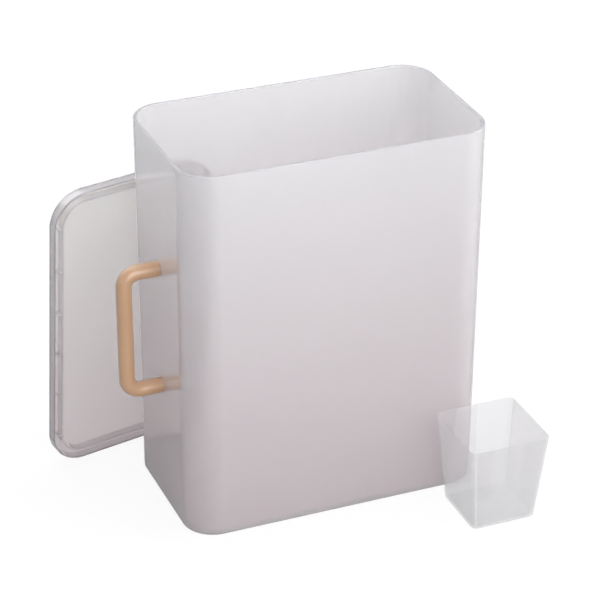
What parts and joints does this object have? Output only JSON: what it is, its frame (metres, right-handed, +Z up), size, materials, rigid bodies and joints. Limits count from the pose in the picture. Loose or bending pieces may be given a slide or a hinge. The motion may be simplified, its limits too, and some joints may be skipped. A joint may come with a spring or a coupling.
{
  "type": "rice bin",
  "caption": "Tall rounded rectangular rice bin with a bar handle on one end wall, a lift-off lid with a plug ring, and a square tapered measuring cup.",
  "frame": {"origin": "middle of the bin's underside, on the floor that the bin stands on", "axes": "+Z up; -X points out through the end wall that carries the handle; -Y is the long side that the measuring cup stands in front of"},
  "size_m": [0.3777, 0.2823, 0.345],
  "materials": {
    "bin_plastic": "satin translucent polypropylene",
    "lid_plastic": "satin translucent polypropylene",
    "handle_plastic": "satin moulded plastic, light tan",
    "screw_steel": "plain stainless steel",
    "washer_plastic": "natural nylon",
    "cup_plastic": "clear polystyrene"
  },
  "bodies": {
    "bin": {"bin_body": "bin_plastic", "handle": "handle_plastic", "upper_handle_screw": "screw_steel", "lower_handle_screw": "screw_steel", "upper_handle_washer": "washer_plastic", "lower_handle_washer": "washer_plastic"},
    "lid": {"lid": "lid_plastic"},
    "cup": {"measuring_cup": "cup_plastic"}
  },
  "joints": [
    {"name": "lid_lift", "type": "slide", "parent": "bin", "child": "lid", "axis": [0, 0, 1], "range_m": [0, 0.36]},
    {"name": "cup_lift", "type": "slide", "parent": "bin", "child": "cup", "axis": [0, 0, 1], "range_m": [0, 0.36]}
  ]
}
